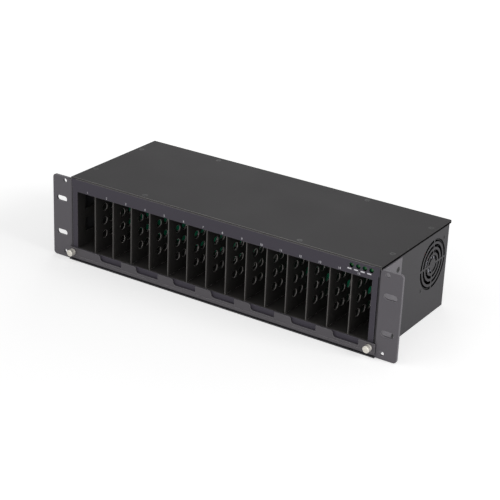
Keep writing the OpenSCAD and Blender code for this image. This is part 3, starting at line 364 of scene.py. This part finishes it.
# Hot-dip galvanised sheet with its crystal spangle
ZINC = Finish("galvanised steel sheet", "#a9abac", "#8f9294", "#c4c6c7", 0.36, 1.0, grain=7.0,
              depth=0.004, edge=0.3, pattern=Pattern.SPANGLE)
# Glass-filled PBT moulding: black, faintly rough
PBT = Finish("moulded PBT", "#1d1d1f", "#252528", "#38383b", 0.4, specular=0.5, grain=0.9,
             depth=0.008, edge=0.3)
# The fans' mouldings: the same PBT drawn darker, painted shade, as they only see light through the
# grille
SHADED_FAN_PBT = Finish("matt moulded PBT", "#0b0b0d", "#101013", "#1b1b1e", 0.6, specular=0.15,
                 grain=0.9, depth=0.008, edge=0.3)
# Polished ABS mouldings of the inlet and its switch
ABS = Finish("moulded ABS", "#19191b", "#202023", "#35353a", 0.3, grain=1.5, depth=0.004,
             edge=0.4)
# Glass-epoxy board under green mask; the copper shows as a lighter green
FR4 = Finish("solder-masked FR4", "#127a56", "#1c9a70", "#8a9a5c", 0.3, coat=0.3, grain=3.2,
             depth=0.03, edge=0.15, pattern=Pattern.TRACES, mix=0.8)
# Green-tinted epoxy of the lamps
EPOXY = Finish("tinted epoxy", "#2f6a3a", "#3f7d4a", "#4d8a55", 0.35, specular=0.3,
               transmission=0.1, depth=0.002)
# Grey PVC flat cable, ridged over each wire
FLAT_CABLE = Finish("grey PVC flat cable", "#8d8d8f", "#6d6d70", "#a5a5a7", 0.5, grain=1.27,
                    depth=0.15, pattern=Pattern.RIBBON)
# Extruded PVC insulation, smooth and slightly waxy
RED_PVC = Finish("red PVC insulation", "#a3201c", "#b52d27", "#c8443c", 0.38, grain=1.5,
                 depth=0.01, edge=0.2)
# Screen-printed ink, off-white and flat
INK = Finish("screen-printed ink", "#eeedf2", "#dfdee4", "#eeedf2", 0.6, depth=0.002, edge=0.02)
# Aluminium foil label, drawn near-white and mostly diffuse: a painted reflection for the foil's
# glints
FOIL_GLINT = Finish("aluminium foil with painted glint", "#f2f5ff", "#dfe6fa", "#ffffff", 0.3, 0.1, specular=1.0,
              grain=2.5, depth=0.01, edge=0.1)
# Tinned contacts of the inlets: yellowish metal
BRASS = Finish("tinned brass", "#c8b273", "#b59d5c", "#e2cf95", 0.3, 1.0, grain=0.8,
               depth=0.005, edge=0.2)
# Black epoxy round the board's chips, matt from its mould
CERAMIC = Finish("moulded epoxy chip", "#1a1a1c", "#232326", "#3a3a3d", 0.5, grain=0.5,
                 depth=0.01, edge=0.1)

NODE_FINISHES = {
    CASE_COAT: ("top_cover", "rear_panel"),
    LIT_TRAY_COAT: ("base_tray",),
    BEZEL_COAT: ("front_bezel", "module_plate_left", "module_plate_right"),
    BAR_COAT: ("retaining_bar",),
    EAR_COAT: ("ear_left", "ear_right"),
    INNER_COAT: ("slot_floor", "slot_roof", "inner_panel_left", "inner_panel_right"),
    DIVIDER_COAT: tuple(f"divider_{i}" for i in range(1, SLOT_COUNT)),
    NICKEL: ("backplane_screws", "module_screws_left", "module_screws_right",
             "module_handle_left", "module_handle_right"),
    BLACK_OXIDE: ("ear_screws", "cover_screws", "rear_screws", "fan_screws", "panel_screws"),
    ZINC: ("bay_rails", "module_case_left", "module_case_right"),
    PBT: ("backplane_sockets", "dc_plugs"),
    SHADED_FAN_PBT: ("fan_frame_left", "fan_frame_right", "fan_rotor_left", "fan_rotor_right"),
    ABS: ("mains_inlet_left", "mains_inlet_right", "rocker_switch_left", "rocker_switch_right"),
    FR4: ("backplane_board", "lamp_board", "power_board_left", "power_board_right"),
    EPOXY: ("status_lamps",),
    FLAT_CABLE: ("lamp_ribbon",),
    RED_PVC: ("fan_lead_left", "fan_lead_right"),
}


class Workshop:
    """Keeps the finished materials and makes objects from bmeshes."""

    def __init__(self) -> None:
        """Start with no material made."""
        self.made: dict[Finish, bpy.types.Material] = {}

    def material(self, finish: Finish) -> bpy.types.Material:
        """Look up a finish's material, which is made once.

        Args:
            finish: The finish.

        Returns:
            Its material.
        """
        if finish not in self.made:
            self.made[finish] = finish.build()
        return self.made[finish]

    def dress(self) -> None:
        """Give every CAD node its finish."""
        for finish, names in NODE_FINISHES.items():
            for name in names:
                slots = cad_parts[name].data.materials
                slots.clear()
                slots.append(self.material(finish))

    def piece(self, name: str, mesh: bmesh.types.BMesh, finish: Finish, body: str,
              slot: str, smooth: bool = True) -> bpy.types.Object:
        """Turn a bmesh, in metres, into a piece that rides on a body.

        Args:
            name: The piece's name.
            mesh: Its shape, freed here.
            finish: Its finish.
            body: The CAD body that it moves with.
            slot: The record's material slot that it stands for; not used.
            smooth: Whether its faces are shaded smooth below a sharp angle.

        Returns:
            The new object.
        """
        bmesh.ops.recalc_face_normals(mesh, faces=mesh.faces)
        data = bpy.data.meshes.new(name)
        for face in mesh.faces:
            face.smooth = smooth
        for edge in mesh.edges:
            if len(edge.link_faces) == 2 and edge.calc_face_angle(0.0) > math.radians(SHARP_DEG):
                edge.smooth = False
        mesh.to_mesh(data)
        mesh.free()
        data.materials.append(self.material(finish))
        piece = bpy.data.objects.new(name, data)
        bpy.context.scene.collection.objects.link(piece)
        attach(piece, body)
        LOG.info("%s: %d faces on %s", name, len(data.polygons), body)
        return piece


def edges_of(verts: list[bmesh.types.BMVert]) -> list[bmesh.types.BMEdge]:
    """Return every edge at some vertices once, in an order that is the same in each run."""
    return list(dict.fromkeys(e for v in verts for e in v.link_edges))


def box_in(mesh: bmesh.types.BMesh, low: tuple, high: tuple, bevel: float = 0.0) -> None:
    """Add a box to a bmesh.

    Args:
        mesh: The bmesh, in metres.
        low: The box's lowest corner in mm.
        high: The box's highest corner in mm.
        bevel: Radius of its rounded edges in mm, or 0 for sharp ones.
    """
    low, high = Vector(low) * MM, Vector(high) * MM
    place = Matrix.Translation((low + high) / 2) @ Matrix.Diagonal((*(high - low), 1.0))
    verts = bmesh.ops.create_cube(mesh, size=1.0, matrix=place)["verts"]
    if bevel:
        bmesh.ops.bevel(mesh, geom=edges_of(verts), offset=bevel * MM, segments=2, profile=0.5,
                        affect="EDGES", material=-1)


def put_in_order(mesh: bmesh.types.BMesh) -> None:
    """Sort a bmesh's edges and faces by their vertices, as a spin leaves them in any order.

    Args:
        mesh: The bmesh.
    """
    mesh.verts.index_update()
    for elements in (mesh.edges, mesh.faces):
        ordered = sorted(elements, key=lambda element: sorted(v.index for v in element.verts))
        rank = {element: i for i, element in enumerate(ordered)}
        elements.sort(key=rank.get)


def turned_in(mesh: bmesh.types.BMesh, profile: list[tuple[float, float]], steps: int) -> None:
    """Spin a profile once round Z and close its poles.

    Args:
        mesh: The bmesh, in metres.
        profile: Radius and height of each point in mm, from pole to pole.
        steps: Number of segments.
    """
    before = set(mesh.verts)
    verts = [mesh.verts.new((r * MM, 0.0, z * MM)) for r, z in profile]
    edges = [mesh.edges.new(pair) for pair in zip(verts, verts[1:])]
    bmesh.ops.spin(mesh, geom=verts + edges, cent=(0, 0, 0), axis=(0, 0, 1),
                   angle=2 * math.pi, steps=steps, use_merge=True)
    made = [v for v in mesh.verts if v not in before]
    bmesh.ops.remove_doubles(mesh, verts=made, dist=WELD_M)
    put_in_order(mesh)


@dataclass
class ThumbScrews:
    """The two captive screws that hold the retaining bar, each with a knurled head."""

    spread: float = 208.3
    height: float = 12.0
    seat_y: float = -3.0
    head_r: float = 4.2
    head_len: float = 8.6
    neck_r: float = 2.8
    neck_len: float = 1.4
    neck_edge: float = 0.05
    edge: float = 0.5
    rim: float = 0.25
    crown_r: float = 0.35
    crown_flat: float = 1.1
    crown_low: float = 0.8
    thread_r: float = 1.75
    thread_deep: float = 0.3
    thread_len: float = 4.4
    thread_pitch: float = 0.7
    thread_tip: float = 0.1
    thread_sides: int = 32
    ridges: int = 36
    ridge_deep: float = 0.28

    def _head(self, mesh: bmesh.types.BMesh) -> None:
        """Add the knurled head: a ridged band between two plain chamfers.

        Args:
            mesh: The screw's bmesh.
        """
        top = self.head_len - self.neck_len
        heights = [(self.head_r - self.edge, 0.0, False),
                   (self.head_r, self.edge, False),
                   (self.head_r, self.edge + self.rim, True),
                   (self.head_r, top - self.crown_flat, True),
                   (self.head_r, top - self.crown_low, False),
                   (self.head_r - self.crown_r, top - self.crown_r, False),
                   (self.head_r - self.crown_flat, top, False)]
        rings = []
        for radius, z, ridged in heights:
            place = Matrix.Translation((0, 0, (z + self.neck_len) * MM))
            made = bmesh.ops.create_circle(mesh, segments=2 * self.ridges, radius=radius * MM,
                                           matrix=place)
            if ridged:
                inward = 1 - self.ridge_deep / radius
                bmesh.ops.scale(mesh, verts=made["verts"][::2], vec=(inward, inward, 1))
            rings.append(edges_of(made["verts"]))
        for first, second in zip(rings, rings[1:]):
            bmesh.ops.bridge_loops(mesh, edges=first + second)
        for ring in (rings[0], rings[-1]):
            bmesh.ops.contextual_create(mesh, geom=ring)

    def _shank(self, mesh: bmesh.types.BMesh) -> None:
        """Add the neck and a thread of rolled ridges.

        Args:
            mesh: The screw's bmesh.
        """
        profile = [(0.0, self.neck_len), (self.neck_r, self.neck_len),
                   (self.neck_r, self.neck_edge), (self.thread_r, 0.0)]
        turns = int(self.thread_len / self.thread_pitch)
        for i in range(turns):
            z = -i * self.thread_pitch
            profile += [(self.thread_r - self.thread_deep, z - self.thread_pitch / 2),
                        (self.thread_r, z - self.thread_pitch)]
        profile += [(0.0, -turns * self.thread_pitch - self.thread_tip)]
        turned_in(mesh, profile, self.thread_sides)

    def build(self, shop: Workshop) -> None:
        """Make both screws in place of their plain nodes.

        Args:
            shop: Makes the pieces.
        """
        forward = Matrix.Rotation(math.pi / 2, 4, "X")
        for side, sign in SIDES.items():
            mesh = bmesh.new()
            self._head(mesh)
            self._shank(mesh)
            seat = Vector((sign * self.spread, self.seat_y, self.height)) * MM
            bmesh.ops.transform(mesh, matrix=Matrix.Translation(seat) @ forward,
                                verts=mesh.verts)
            piece = shop.piece(f"knurled_thumbscrew_{side}", mesh, SATIN_NICKEL,
                               f"thumb_{side}", "nickel")
            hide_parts(f"thumbscrew_{side}")


@dataclass
class FrontPrint:
    """Printing on the bezel: a number over each slot and a bar under each lamp.

    number_x holds the first number's place, the step to the next and how the step changes, as
    they stand in the photograph, where they aren't quite centred over the slots.
    """

    number_z: float = 93.5
    number_h: float = 2.8
    number_x: tuple[float, float, float] = (-188.5, 29.5, -0.19)
    letter_size: float = 1.35
    ink_t: float = 0.04
    lamp_x: tuple[float, ...] = (177.5, 185.7, 193.9, 202.1)
    bar_z: float = 96.4
    bar_w: float = 5.0
    bar_h: float = 1.5
    bar_shift: float = -2.2

    def _number(self, text: str, x: float) -> bpy.types.Mesh:
        """Make a number that stands on the bezel's face.

        Args:
            text: The number.
            x: Its middle in mm.

        Returns:
            Its mesh, in place.
        """
        curve = bpy.data.curves.new("number", "FONT")
        curve.body = text
        curve.size = self.number_h * MM * self.letter_size
        curve.align_x = "CENTER"
        curve.extrude = self.ink_t / 2 * MM
        curve.resolution_u = 3
        holder = bpy.data.objects.new("number", curve)
        bpy.context.scene.collection.objects.link(holder)
        bpy.context.view_layer.update()
        finished = holder.evaluated_get(bpy.context.evaluated_depsgraph_get())
        data = bpy.data.meshes.new_from_object(finished)
        bpy.data.objects.remove(holder)
        bpy.data.curves.remove(curve)
        low = Vector((x, -self.ink_t / 2, self.number_z - self.number_h / 2)) * MM
        data.transform(Matrix.Translation(low) @ Matrix.Rotation(math.pi / 2, 4, "X"))
        return data

    def build(self, shop: Workshop) -> None:
        """Make the numbers and the bars.

        Args:
            shop: Makes the piece.
        """
        mesh = bmesh.new()
        first, step, bend = self.number_x
        for i in range(SLOT_COUNT):
            data = self._number(str(i + 1), first + step * i + bend * i * i)
            mesh.from_mesh(data)
            bpy.data.meshes.remove(data)
        for x in self.lamp_x:
            mid = x + self.bar_shift
            box_in(mesh, (mid - self.bar_w / 2, -self.ink_t, self.bar_z - self.bar_h / 2),
                   (mid + self.bar_w / 2, 0.0, self.bar_z + self.bar_h / 2))
        shop.piece("front_print", mesh, INK, "chassis", "nickel", smooth=False)


@dataclass
class CoverLines:
    """A painted highlight along the cover's front edge, and painted shade for the gap under its
    side lips.
    """

    half_w: float = 213.2
    edge_w: float = 0.6
    edge_h: float = 0.2
    proud: float = 0.04
    fold_z: float = 106.3
    fold_h: float = 0.3
    fold_half_w: float = 206.0
    gap_z: tuple[float, float] = (104.95, 107.3)
    gap_y: tuple[float, float] = (1.0, 166.5)

    def build(self, shop: Workshop) -> None:
        """Make the painted highlights on the edge and the fold, and a strip of painted shade for
        the gap on each side.

        Args:
            shop: Makes the pieces.
        """
        mesh = bmesh.new()
        # Painted highlight: light grey strips on the cover's front edge and on the bezel's fold
        box_in(mesh, (-self.half_w, 0.0, CASE_HEIGHT - self.edge_h),
               (self.half_w, self.edge_w, CASE_HEIGHT + self.proud))
        box_in(mesh, (-self.fold_half_w, -self.proud, self.fold_z),
               (self.fold_half_w, 0.0, self.fold_z + self.fold_h))
        shop.piece("cover_front_edge_highlight", mesh, EDGE_HIGHLIGHT_LINE, "chassis", "nickel", smooth=False)
        # Painted shade: a flat black strip on each side under the cover's lip
        mesh = bmesh.new()
        (near_y, far_y), (low_z, high_z) = self.gap_y, self.gap_z
        for sign in SIDES.values():
            left, right = sorted((sign * CASE_WIDTH / 2, sign * (CASE_WIDTH / 2 + self.proud)))
            box_in(mesh, (left, near_y, low_z), (right, far_y, high_z))
        shop.piece("cover_side_gap_shade", mesh, GAP_SHADE, "chassis", "black_plastic", smooth=False)


@dataclass
class BackplaneParts:
    """Small parts soldered to the front of the backplane, the same in every slot.

    Each row holds a part's place across the slot, its height above the base, its width and its
    own height.
    """

    face_y: float = BACKPLANE_Y
    rows: tuple[tuple[float, float, float, float], ...] = (
        (-6.5, 78.0, 3.2, 1.6), (5.5, 80.0, 2.0, 1.25), (5.5, 76.0, 2.0, 1.25),
        (-6.0, 70.5, 5.0, 4.0), (6.0, 68.0, 1.6, 0.8))
    chip_t: float = 0.9
    solder_t: float = 0.5
    pad_w: float = 0.5
    edge: float = 0.1

    def build(self, shop: Workshop) -> None:
        """Make the chips and their solder ends.

        Args:
            shop: Makes the pieces.
        """
        chips, ends = bmesh.new(), bmesh.new()
        face = self.face_y
        for i in range(SLOT_COUNT):
            mid = (i - (SLOT_COUNT - 1) / 2) * SLOT_PITCH
            for dx, z, w, h in self.rows:
                x, low, high = mid + dx, z - h / 2, z + h / 2
                box_in(chips, (x - w / 2, face - self.chip_t, low), (x + w / 2, face, high),
                       self.edge)
                for k in (-1, 1):
                    a, b = sorted((x + k * w / 2, x + k * (w / 2 + self.pad_w)))
                    box_in(ends, (a, face - self.solder_t, low), (b, face, high), self.edge)
        shop.piece("backplane_chips", chips, CERAMIC, "chassis", "black_plastic")
        shop.piece("backplane_solder", ends, NICKEL, "chassis", "nickel")


@dataclass
class InletPins:
    """Plated contacts over the mains inlets' pins."""

    mid_x: tuple[float, float] = (-116.0, 40.0)
    mid_z: float = 34.3
    front_y: float = 154.35
    length: float = 13.05
    pitch: float = 7.0
    half_w: float = 1.04
    half_h: float = 2.04
    earth_up: float = 2.6
    edge: float = 0.3

    def build(self, shop: Workshop) -> None:
        """Make three pins for each inlet, the middle one higher.

        Args:
            shop: Makes the pieces.
        """
        for side, mid in zip(SIDES, self.mid_x):
            mesh = bmesh.new()
            for k in (-1, 0, 1):
                x = mid + k * self.pitch
                z = self.mid_z + (self.earth_up if k == 0 else 0.0)
                box_in(mesh, (x - self.half_w, self.front_y, z - self.half_h),
                       (x + self.half_w, self.front_y + self.length, z + self.half_h),
                       self.edge)
            shop.piece(f"inlet_pins_{side}", mesh, BRASS, f"module_{side}", "nickel")


@dataclass
class FanLabels:
    """A foil disc on each fan's hub, its near-white colour a painted glint."""

    radius: float = 10.8
    thick: float = 0.06
    behind_wall: float = 1.9
    sides: int = 48

    def build(self, shop: Workshop) -> None:
        """Make a disc for each fan.

        Args:
            shop: Makes the pieces.
        """
        profile = [(0.0, 0.0), (self.radius, 0.0), (self.radius, self.thick), (0.0, self.thick)]
        hub_x = FAN_WALL_X - self.behind_wall
        for side, sign in SIDES.items():
            mesh = bmesh.new()
            turned_in(mesh, profile, self.sides)
            place = Matrix.Translation(Vector((sign * hub_x, FAN_Y, FAN_Z)) * MM)
            turn = Matrix.Rotation(sign * math.pi / 2, 4, "Y")
            bmesh.ops.transform(mesh, matrix=place @ turn, verts=mesh.verts)
            shop.piece(f"fan_label_{side}", mesh, FOIL_GLINT, "chassis", "nickel")


@dataclass
class Viewpoint:
    """The camera that took the picture, from a fit to the case's corners and edges."""

    azimuth_deg: float = 32.4426
    elevation_deg: float = 23.6577
    roll_deg: float = 2.4388
    right_mm: float = -42.3428
    up_mm: float = -63.8687
    back_mm: float = 1710.8753
    focal_px: float = 1465.581
    image_px: float = 500.0
    sensor_mm: float = 36.0
    near_m: float = 0.05
    far_m: float = 50.0

    def build(self) -> None:
        """Make the camera and set it as the scene's."""
        a, e, r = (math.radians(v)
                   for v in (self.azimuth_deg, self.elevation_deg, self.roll_deg))
        back = Vector((math.sin(a) * math.cos(e), -math.cos(a) * math.cos(e), math.sin(e)))
        right = Vector((math.cos(a), math.sin(a), 0.0))
        up = back.cross(right)
        right, up = (math.cos(r) * right + math.sin(r) * up,
                     -math.sin(r) * right + math.cos(r) * up)
        place = (back * self.back_mm - right * self.right_mm - up * self.up_mm) * MM
        data = bpy.data.cameras.new("camera")
        data.sensor_width = self.sensor_mm
        data.lens = self.sensor_mm * self.focal_px / self.image_px
        data.clip_start, data.clip_end = self.near_m, self.far_m
        camera = bpy.data.objects.new("camera", data)
        bpy.context.scene.collection.objects.link(camera)
        basis = Matrix((right, up, back)).transposed()
        camera.matrix_world = Matrix.Translation(place) @ basis.to_4x4()
        bpy.context.scene.camera = camera


@dataclass
class Lamp:
    """A soft rectangular studio lamp. Its place, size and aim are in metres."""

    name: str
    place: tuple[float, float, float]
    size: tuple[float, float]
    watts: float
    aim: tuple[float, float, float] = (0.0, 0.08, 0.05)

    def build(self) -> None:
        """Make the lamp and aim it."""
        data = bpy.data.lights.new(self.name, "AREA")
        data.shape = "RECTANGLE"
        data.size, data.size_y = self.size
        data.energy = self.watts
        lamp = bpy.data.objects.new(self.name, data)
        bpy.context.scene.collection.objects.link(lamp)
        lamp.location = self.place
        lamp.rotation_mode = "QUATERNION"
        towards = Vector(self.aim) - Vector(self.place)
        lamp.rotation_quaternion = towards.to_track_quat("-Z", "Y")


@dataclass
class Studio:
    """A plain pale floor under soft lamps and an even sky, both seen as white by what shows them.

    The camera sees the floor lifted by floor_lift next to the object and by floor_far_lift from
    floor_far_m on, so the floor is darker round the object: painted shade, which also keeps its
    cast shadow there. Its sizes are in metres.
    """

    floor_half: float = 30.0
    floor_colour: str = "#e4e4e4"
    floor_lift: float = 0.49
    floor_far_lift: float = 0.75
    floor_near_m: float = 0.35
    floor_far_m: float = 0.75
    sky_level: float = 0.4
    lamps: list[Lamp] = field(default_factory=lambda: [
        Lamp("key", (-0.9, -1.1, 1.9), (1.4, 1.4), 5.0),
        Lamp("rear", (-0.93, 1.6, 0.9), (0.6, 0.4), 2.4),
        Lamp("side", (1.9, 0.1, 0.9), (1.0, 1.0), 17.5),
        Lamp("fill", (0.6, -2.2, 0.5), (0.8, 0.8), 7.0)])

    def _shown(self, tree: bpy.types.NodeTree) -> bpy.types.NodeSocket:
        """Tell what the camera sees, itself or through metal and glass, from what only lights.

        Args:
            tree: The floor's or the world's node tree.

        Returns:
            A socket that is 1 for what is seen.
        """
        path = add(tree, "LightPath")
        seen = add(tree, "Math", {"operation": "MAXIMUM"}, in0=path.outputs["Is Camera Ray"],
                   in1=path.outputs["Is Glossy Ray"])
        through = add(tree, "Math", {"operation": "MAXIMUM"}, in0=seen.outputs[0],
                      in1=path.outputs["Is Transmission Ray"])
        return through.outputs[0]

    def _floor(self) -> None:
        """Make the floor: a matt sheet that the camera sees a little brighter, up to white, and
        less so next to the object, as painted shade.
        """
        mesh = bmesh.new()
        bmesh.ops.create_grid(mesh, x_segments=1, y_segments=1, size=self.floor_half)
        data = bpy.data.meshes.new("floor")
        mesh.to_mesh(data)
        mesh.free()
        floor = bpy.data.objects.new("floor", data)
        bpy.context.scene.collection.objects.link(floor)
        material, tree = new_tree("matt paper")
        matt = add(tree, "BsdfDiffuse", {"Color": linear(self.floor_colour)})
        place = add(tree, "TexCoord").outputs["Object"]
        reach = add(tree, "VectorMath", {"operation": "LENGTH"}, in0=place)
        # Painted shade: less lift next to the object leaves the floor darker round it
        level = add(tree, "MapRange", {
            "From Min": self.floor_near_m, "From Max": self.floor_far_m,
            "To Min": self.floor_lift, "To Max": self.floor_far_lift},
            Value=reach.outputs["Value"])
        lift = add(tree, "Math", {"operation": "MULTIPLY"}, in0=self._shown(tree),
                   in1=level.outputs[0])
        glow = add(tree, "Emission", {"Color": WHITE}, Strength=lift.outputs[0])
        both = add(tree, "AddShader", {}, in0=matt.outputs[0], in1=glow.outputs[0])
        add(tree, "OutputMaterial", {}, Surface=both.outputs[0])
        data.materials.append(material)

    def _sky(self) -> None:
        """Make the sky: even light, seen as white by the camera and by reflections."""
        world = bpy.data.worlds.new("sky")
        bpy.context.scene.world = world
        world.use_nodes = True
        tree = world.node_tree
        tree.nodes.clear()
        level = add(tree, "MapRange", {"To Min": self.sky_level, "To Max": 1.0},
                    Value=self._shown(tree))
        light = add(tree, "Background", {"Color": WHITE}, Strength=level.outputs[0])
        add(tree, "OutputWorld", {}, Surface=light.outputs[0])

    def build(self) -> None:
        """Make the floor, the sky and the lamps."""
        self._floor()
        self._sky()
        for lamp in self.lamps:
            lamp.build()
        bpy.context.scene.view_settings.view_transform = "Standard"


def main() -> None:
    """Dress the frame, add the pieces and set the studio."""
    logging.basicConfig(level=logging.INFO, format="%(name)s %(message)s")
    Viewpoint().build()
    shop = Workshop()
    shop.dress()
    parts = (ThumbScrews(), FrontPrint(), CoverLines(), BackplaneParts(), InletPins(),
             FanLabels())
    for part in parts:
        part.build(shop)
    Studio().build()


if __name__ == "__main__":
    main()
